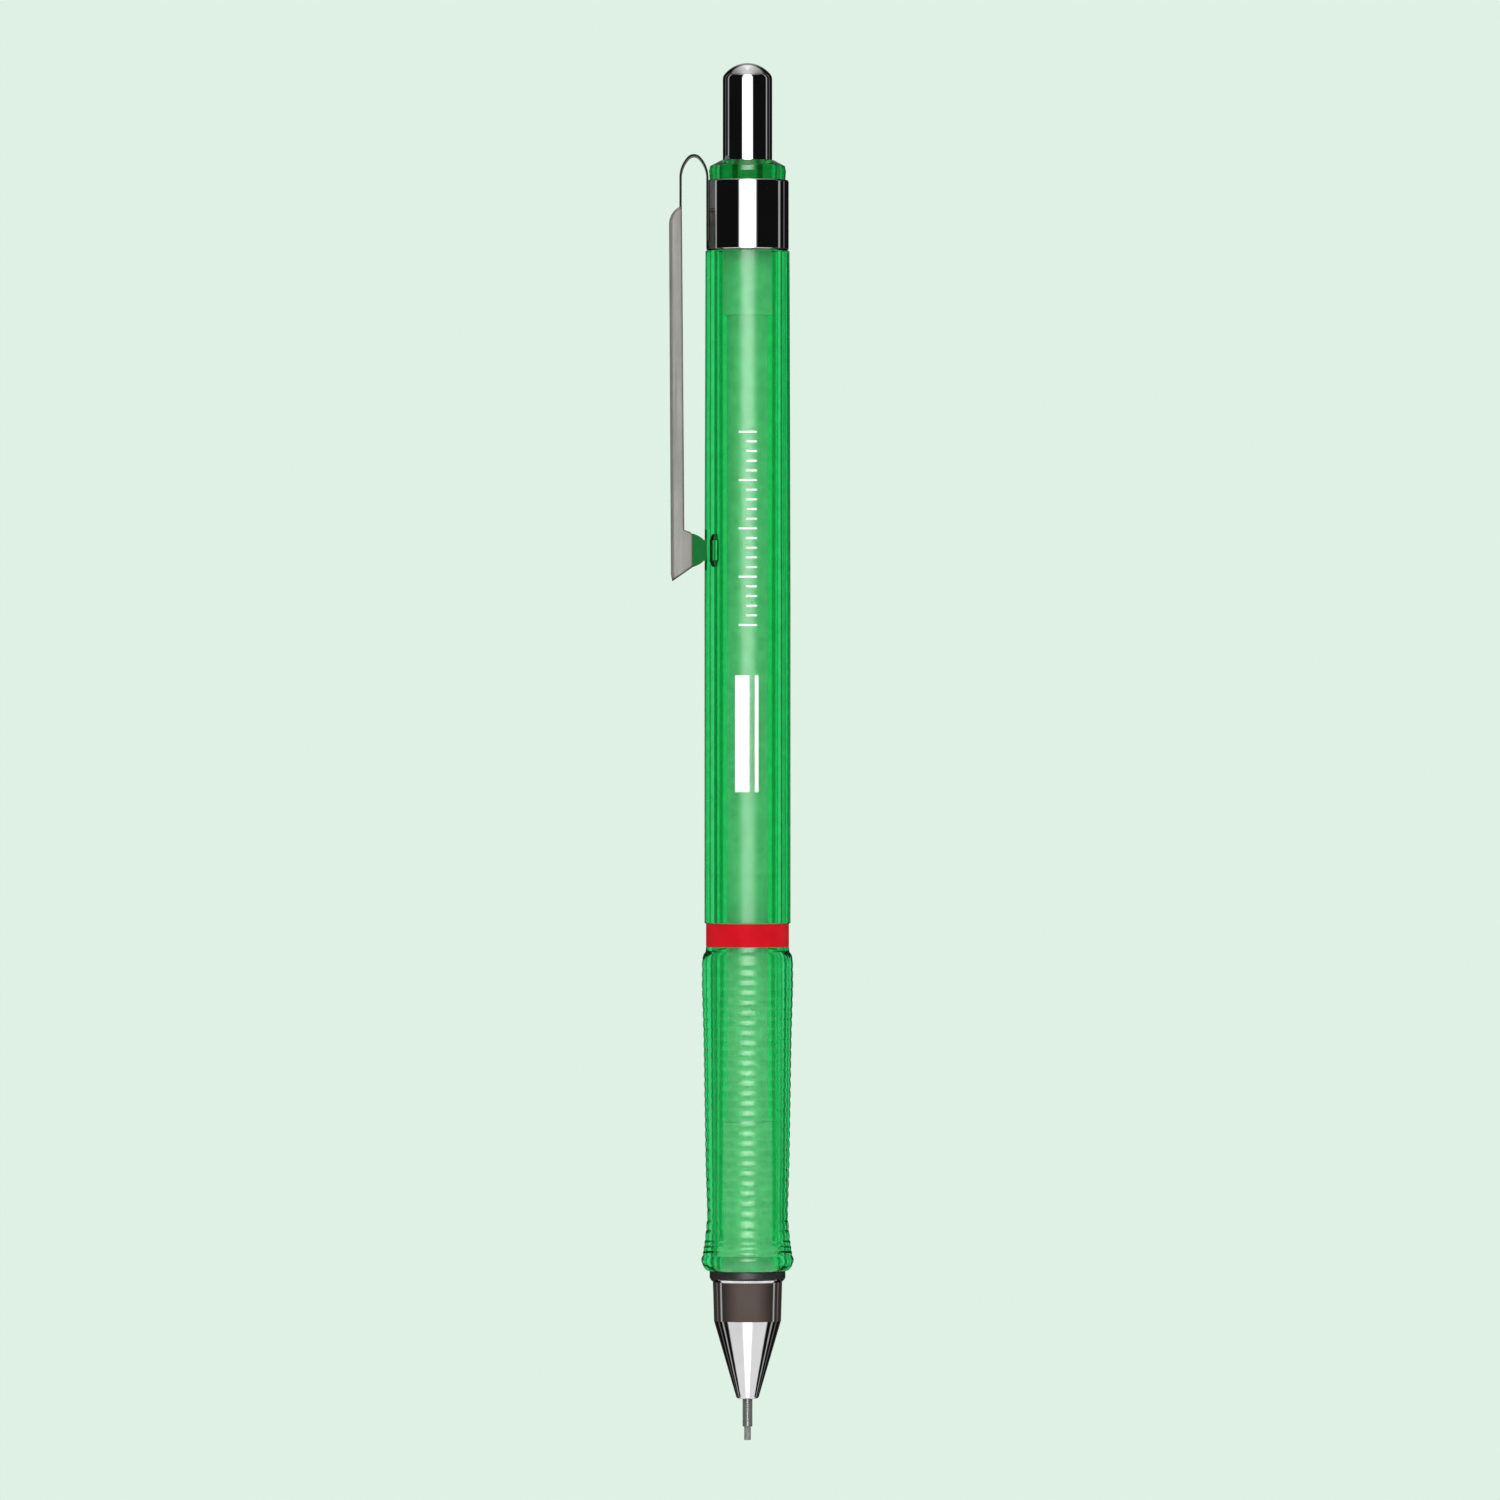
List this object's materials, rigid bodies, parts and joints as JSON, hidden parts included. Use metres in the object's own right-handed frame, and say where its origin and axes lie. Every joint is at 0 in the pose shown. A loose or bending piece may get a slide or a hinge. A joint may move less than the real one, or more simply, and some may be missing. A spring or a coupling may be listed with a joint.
{
  "type": "push-button lead holder",
  "caption": "Slim push-button lead holder for fine lead, with a clear barrel, ribbed soft grip, sprung steel pocket clip, metal nose cone and fixed guide sleeve.",
  "frame": {"origin": "on the axis, half-way along the plain stretch of barrel between the clip's tip and the coloured ring, where a hand or a clamp holds it", "axes": "+Z along the axis from the lead's point to the push button, -X towards the clip, Y square to both"},
  "size_m": [0.0129, 0.0096, 0.143],
  "materials": {
    "ring_black": "black, slight gloss",
    "print_white": "printed ink on the barrel",
    "clear_green": "clear tinted, polished",
    "grip_green": "clear tinted soft elastomer, ribbed",
    "ring_red": "gloss",
    "dark_chrome": "bright polished plate",
    "clip_steel": "satin",
    "tube_steel": "bright drawn tube",
    "spring_steel": "drawn wire",
    "milky_plastic": "milky, slightly translucent",
    "chuck_brass": "turned",
    "retainer_rubber": "matte",
    "eraser_white": "matte",
    "graphite": "dark grey, slight sheen"
  },
  "bodies": {
    "barrel": {"barrel": "clear_green", "colour_ring": "ring_red", "front_ring": "ring_black", "clip_ring": "dark_chrome", "grip_sleeve": "grip_green", "top_collar": "clear_green", "mechanism_sleeve": "milky_plastic", "return_spring": "spring_steel", "clip_spring": "clip_steel"},
    "plunger": {"lead_tube": "milky_plastic", "chuck_body": "chuck_brass", "eraser_holder": "milky_plastic", "eraser": "eraser_white"},
    "button": {"push_button": "dark_chrome"},
    "clutch": {"clutch_ring": "chuck_brass"},
    "jaw_1": {"chuck_jaw_1": "chuck_brass"},
    "jaw_2": {"chuck_jaw_2": "chuck_brass"},
    "jaw_3": {"chuck_jaw_3": "chuck_brass"},
    "nose": {"nose_cone": "dark_chrome", "guide_sleeve": "tube_steel", "lead_retainer": "retainer_rubber"},
    "lead": {"lead": "graphite"},
    "spare_1": {"spare_lead_1": "graphite"},
    "spare_2": {"spare_lead_2": "graphite"},
    "clip": {"clip_arm": "clip_steel"}
  },
  "joints": [
    {"name": "button_press", "type": "slide", "parent": "barrel", "child": "plunger", "axis": [0, 0, -1], "range_m": [0, 0.0035], "stiffness_N_per_m": 1600, "springref_m": -0.002, "deforming": ["return_spring"]},
    {"name": "button_pull_off", "type": "slide", "parent": "plunger", "child": "button", "axis": [0, 0, 1], "range_m": [0, 0.02]},
    {"name": "clutch_ring_slide", "type": "slide", "parent": "barrel", "child": "clutch", "axis": [0, 0, -1], "range_m": [0, 0.00078]},
    {"name": "nose_cone_off", "type": "slide", "parent": "barrel", "child": "nose", "axis": [0, 0, -1], "range_m": [0, 0.02]},
    {"name": "lead_feed", "type": "slide", "parent": "clutch", "child": "lead", "axis": [0, 0, -1], "range_m": [-0.0013, 0.04]},
    {"name": "spare_lead_1_slide", "type": "slide", "parent": "plunger", "child": "spare_1", "axis": [0, 0, 1], "range_m": [0, 0.037]},
    {"name": "spare_lead_2_slide", "type": "slide", "parent": "plunger", "child": "spare_2", "axis": [0, 0, 1], "range_m": [0, 0.037]},
    {"name": "clip_flex", "type": "hinge", "parent": "barrel", "child": "clip", "pos_m": [-0.00556, 0, 0.0611], "axis": [0, 1, 0], "range_deg": [0, 4.5], "stiffness_Nm_per_rad": 1.2, "springref_deg": -2.01, "deforming": ["clip_spring"]},
    {"name": "jaw_1_open", "type": "hinge", "parent": "plunger", "child": "jaw_1", "pos_m": [0.00042, 0.00073, -0.0512], "axis": [0.866, -0.5, 0], "range_deg": [0, 1.62]},
    {"name": "jaw_2_open", "type": "hinge", "parent": "plunger", "child": "jaw_2", "pos_m": [-0.00084, 0, -0.0512], "axis": [0, 1, 0], "range_deg": [0, 1.62]},
    {"name": "jaw_3_open", "type": "hinge", "parent": "plunger", "child": "jaw_3", "pos_m": [0.00042, -0.00073, -0.0512], "axis": [-0.866, -0.5, 0], "range_deg": [0, 1.62]}
  ],
  "couplings": [
    {"joint": "clutch_ring_slide", "follows": "button_press", "ratio": 0.22},
    {"joint": "jaw_1_open", "follows": "button_press", "rad_per_m": 7.9786},
    {"joint": "jaw_2_open", "follows": "button_press", "rad_per_m": 7.9786},
    {"joint": "jaw_3_open", "follows": "button_press", "rad_per_m": 7.9786}
  ]
}
